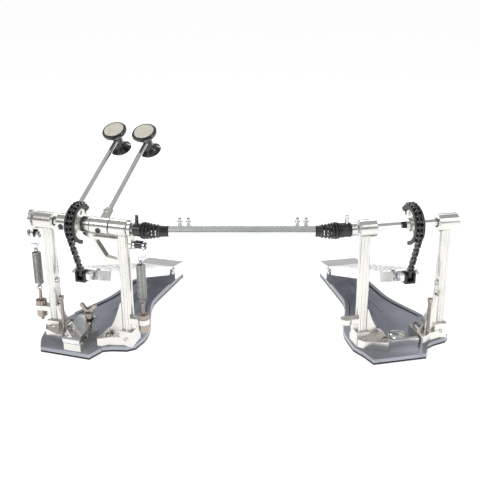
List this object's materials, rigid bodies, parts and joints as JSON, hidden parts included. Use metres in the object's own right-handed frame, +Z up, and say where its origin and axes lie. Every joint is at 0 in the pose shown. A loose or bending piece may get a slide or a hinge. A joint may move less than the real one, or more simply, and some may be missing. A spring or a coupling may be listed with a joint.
{
  "type": "double bass drum pedal",
  "caption": "Twin foot pedal set: two chain-driven footboards on flared base plates, joined by a jointed drive shaft that works a second beater beside the first.",
  "frame": {"origin": "point on the floor under the middle of the main unit's axle, on the underside of its rubber sole", "axes": "+X along the drive shaft from the main unit to the remote unit, +Y from the drum towards the drummer, +Z up"},
  "size_m": [0.6424, 0.3682, 0.31],
  "materials": {
    "cast_aluminium": "satin",
    "plate_aluminium": "satin",
    "board_aluminium": "satin",
    "sole_rubber": "matte",
    "boot_rubber": "semi-gloss",
    "chrome": "polished",
    "black_steel": "satin",
    "black_plastic": "gloss",
    "rim_plastic": "semi-gloss",
    "tube_aluminium": "satin",
    "nickel_screws": "semi-gloss",
    "spring_steel": "semi-gloss",
    "felt": "matte",
    "satin_steel": "satin"
  },
  "bodies": {
    "frame": {"rubber_soles": "sole_rubber", "main_base_plate": "plate_aluminium", "main_foot_left": "cast_aluminium", "main_foot_right": "cast_aluminium", "main_post_left": "cast_aluminium", "main_post_right": "cast_aluminium", "main_heel_plate": "board_aluminium", "clamp_lower_jaw": "cast_aluminium", "remote_base_plate": "plate_aluminium", "remote_foot_left": "cast_aluminium", "remote_foot_right": "cast_aluminium", "remote_post_left": "cast_aluminium", "remote_post_right": "cast_aluminium", "remote_heel_plate": "board_aluminium", "frame_screws": "nickel_screws", "bearing_rings": "satin_steel", "hinge_pins": "chrome", "rubber_boots": "boot_rubber", "spring_eyebolts": "nickel_screws", "spring_nuts": "nickel_screws"},
    "main_footboard": {"main_footboard": "board_aluminium", "main_toe_clevis": "rim_plastic"},
    "remote_footboard": {"remote_footboard": "board_aluminium", "remote_toe_clevis": "rim_plastic"},
    "main_axle": {"main_axle": "chrome", "main_cam": "cast_aluminium", "main_cam_rim": "rim_plastic", "main_chain_wrap": "black_steel", "main_rocker": "cast_aluminium", "main_beater_hub": "cast_aluminium"},
    "main_chain_link_a": {"main_chain_link_a": "black_steel"},
    "main_chain_link_b": {"main_chain_link_b": "black_steel"},
    "main_chain_run": {"main_chain_run": "black_steel"},
    "remote_axle": {"remote_axle": "chrome", "remote_cam": "cast_aluminium", "remote_cam_rim": "rim_plastic", "remote_chain_wrap": "black_steel", "remote_coupler": "satin_steel"},
    "remote_chain_link_a": {"remote_chain_link_a": "black_steel"},
    "remote_chain_link_b": {"remote_chain_link_b": "black_steel"},
    "remote_chain_run": {"remote_chain_run": "black_steel"},
    "relay_axle": {"relay_axle": "chrome", "relay_beater_hub": "cast_aluminium", "relay_rocker": "cast_aluminium", "relay_coupler": "black_steel"},
    "shaft": {"shaft_tube": "tube_aluminium", "shaft_stubs": "satin_steel", "joint_crosses": "satin_steel"},
    "main_beater": {"main_beater_rod": "chrome", "main_beater_body": "black_plastic", "main_beater_felt": "felt"},
    "relay_beater": {"relay_beater_rod": "chrome", "relay_beater_body": "black_plastic", "relay_beater_felt": "felt"},
    "main_spring": {"main_spring": "spring_steel"},
    "relay_spring": {"relay_spring": "spring_steel"},
    "main_stirrup": {"main_spring_stirrup": "chrome"},
    "relay_stirrup": {"relay_spring_stirrup": "chrome"},
    "clamp_jaw": {"clamp_upper_jaw": "chrome"},
    "wing_bolt": {"wing_bolt": "nickel_screws"}
  },
  "joints": [
    {"name": "main_footboard_hinge", "type": "hinge", "parent": "frame", "child": "main_footboard", "pos_m": [0.07093, 0.23772, 0.026], "axis": [0.9511, -0.309, 0], "range_deg": [0, 6], "stiffness_Nm_per_rad": 10, "springref_deg": -14.32},
    {"name": "main_axle_turn", "type": "hinge", "parent": "frame", "child": "main_axle", "pos_m": [0, 0, 0.19], "axis": [0.9511, -0.309, 0], "range_deg": [0, 44.44]},
    {"name": "main_chain_link_a_pivot", "type": "hinge", "parent": "main_axle", "child": "main_chain_link_a", "pos_m": [-0.01412, -0.02404, 0.2026], "axis": [0.9511, -0.309, 0], "range_deg": [-15.26, 0]},
    {"name": "main_chain_link_b_pivot", "type": "hinge", "parent": "main_chain_link_a", "child": "main_chain_link_b", "pos_m": [-0.01485, -0.02629, 0.19495], "axis": [0.9511, -0.309, 0], "range_deg": [-13.14, 0]},
    {"name": "main_chain_run_pivot", "type": "hinge", "parent": "main_chain_link_b", "child": "main_chain_run", "pos_m": [-0.01493, -0.02653, 0.18696], "axis": [0.9511, -0.309, 0], "range_deg": [-24.66, 0]},
    {"name": "remote_footboard_hinge", "type": "hinge", "parent": "frame", "child": "remote_footboard", "pos_m": [0.41783, 0.23712, 0.026], "axis": [0.9703, 0.2419, 0], "range_deg": [0, 6], "stiffness_Nm_per_rad": 10, "springref_deg": -14.32},
    {"name": "remote_axle_turn", "type": "hinge", "parent": "frame", "child": "remote_axle", "pos_m": [0.472, -0.00496, 0.19], "axis": [0.9703, 0.2419, 0], "range_deg": [0, 44.44]},
    {"name": "remote_chain_link_a_pivot", "type": "hinge", "parent": "remote_axle", "child": "remote_chain_link_a", "pos_m": [0.48441, -0.02993, 0.2026], "axis": [0.9703, 0.2419, 0], "range_deg": [-15.26, 0]},
    {"name": "remote_chain_link_b_pivot", "type": "hinge", "parent": "remote_chain_link_a", "child": "remote_chain_link_b", "pos_m": [0.48498, -0.03222, 0.19495], "axis": [0.9703, 0.2419, 0], "range_deg": [-13.14, 0]},
    {"name": "remote_chain_run_pivot", "type": "hinge", "parent": "remote_chain_link_b", "child": "remote_chain_run", "pos_m": [0.48504, -0.03247, 0.18696], "axis": [0.9703, 0.2419, 0], "range_deg": [-24.66, 0]},
    {"name": "relay_axle_turn", "type": "hinge", "parent": "frame", "child": "relay_axle", "pos_m": [0.02853, -0.00927, 0.19], "axis": [0.9511, -0.309, 0], "range_deg": [0, 44.44]},
    {"name": "shaft_turn", "type": "hinge", "parent": "frame", "child": "shaft", "pos_m": [0.23, -0.03399, 0.19], "axis": [1, 0, 0], "range_deg": [0, 44.44]},
    {"name": "main_spring_tilt", "type": "hinge", "parent": "frame", "child": "main_spring", "pos_m": [-0.07989, 0.02596, 0.0822], "axis": [0.9511, -0.309, 0], "range_deg": [-9.54, 0]},
    {"name": "main_spring_stretch", "type": "slide", "parent": "main_spring", "child": "main_stirrup", "axis": [0, 0, 1], "range_m": [0, 0.00761], "deforming": ["main_spring"]},
    {"name": "relay_spring_tilt", "type": "hinge", "parent": "frame", "child": "relay_spring", "pos_m": [0.08655, -0.02812, 0.0822], "axis": [0.9511, -0.309, 0], "range_deg": [-9.54, 0]},
    {"name": "relay_spring_stretch", "type": "slide", "parent": "relay_spring", "child": "relay_stirrup", "axis": [0, 0, 1], "range_m": [0, 0.00761], "deforming": ["relay_spring"]},
    {"name": "main_beater_height", "type": "slide", "parent": "main_axle", "child": "main_beater", "axis": [0.2676, 0.8236, 0.5], "range_m": [-0.006, 0.012]},
    {"name": "relay_beater_height", "type": "slide", "parent": "relay_axle", "child": "relay_beater", "axis": [0.2676, 0.8236, 0.5], "range_m": [-0.006, 0.012]},
    {"name": "wing_bolt_turn", "type": "hinge", "parent": "frame", "child": "wing_bolt", "pos_m": [0.00133, -0.00885, 0.05], "axis": [0, 0, 1], "range_deg": [-720, 0]},
    {"name": "clamp_jaw_tilt", "type": "hinge", "parent": "frame", "child": "clamp_jaw", "pos_m": [-0.00994, -0.02411, 0.033], "axis": [0.9511, -0.309, 0], "range_deg": [-6.4, 0]}
  ],
  "couplings": [
    {"joint": "main_axle_turn", "follows": "main_footboard_hinge", "ratio": 7.3983},
    {"joint": "main_chain_link_a_pivot", "follows": "main_footboard_hinge", "ratio": -2.535},
    {"joint": "main_chain_link_b_pivot", "follows": "main_footboard_hinge", "ratio": -2.1817},
    {"joint": "main_chain_run_pivot", "follows": "main_footboard_hinge", "ratio": -4.1017},
    {"joint": "remote_axle_turn", "follows": "remote_footboard_hinge", "ratio": 7.3983},
    {"joint": "remote_chain_link_a_pivot", "follows": "remote_footboard_hinge", "ratio": -2.535},
    {"joint": "remote_chain_link_b_pivot", "follows": "remote_footboard_hinge", "ratio": -2.1817},
    {"joint": "remote_chain_run_pivot", "follows": "remote_footboard_hinge", "ratio": -4.1017},
    {"joint": "relay_axle_turn", "follows": "remote_footboard_hinge", "ratio": 7.3983},
    {"joint": "shaft_turn", "follows": "remote_footboard_hinge", "ratio": 7.3983},
    {"joint": "main_spring_tilt", "follows": "main_footboard_hinge", "ratio": -1.5814},
    {"joint": "main_spring_stretch", "follows": "main_footboard_hinge", "m_per_rad": 0.072156},
    {"joint": "relay_spring_tilt", "follows": "remote_footboard_hinge", "ratio": -1.5814},
    {"joint": "relay_spring_stretch", "follows": "remote_footboard_hinge", "m_per_rad": 0.072156},
    {"joint": "clamp_jaw_tilt", "follows": "wing_bolt_turn", "ratio": 0.008819}
  ]
}
